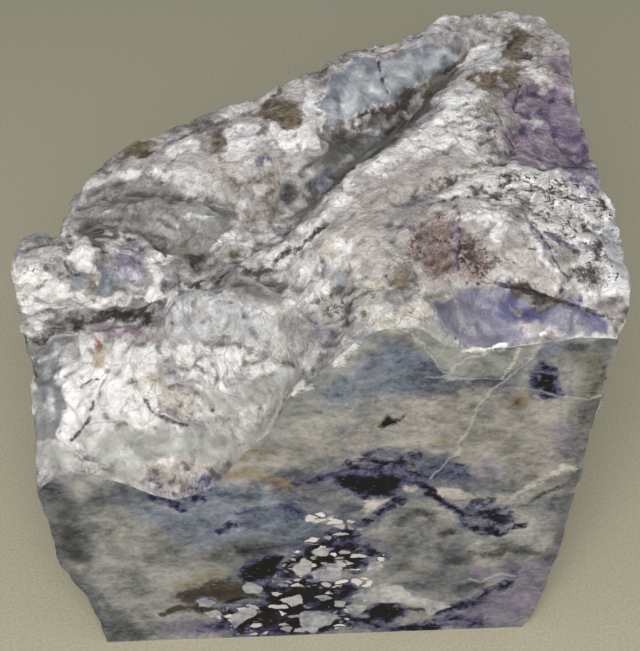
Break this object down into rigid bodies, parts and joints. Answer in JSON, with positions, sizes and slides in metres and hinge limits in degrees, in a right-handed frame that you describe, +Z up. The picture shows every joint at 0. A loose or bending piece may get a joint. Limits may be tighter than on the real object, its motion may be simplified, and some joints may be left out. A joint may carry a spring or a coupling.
{
  "type": "tiffany stone",
  "caption": "Block of tiffany stone with a rough broken top, a sawn base and a sawn, polished front in violet, grey and cream.",
  "frame": {"origin": "middle of the bounding box, in the plane of the sawn base", "axes": "+Z up from the sawn base, -Y out of the sawn and polished front face, +X to the right of that face"},
  "size_m": [0.1266, 0.1026, 0.1055],
  "materials": {
    "tiffany_stone": "sawn and polished on one face, rough and partly glassy elsewhere"
  },
  "bodies": {
    "root": {"tiffany_stone": "tiffany_stone"}
  },
  "joints": []
}
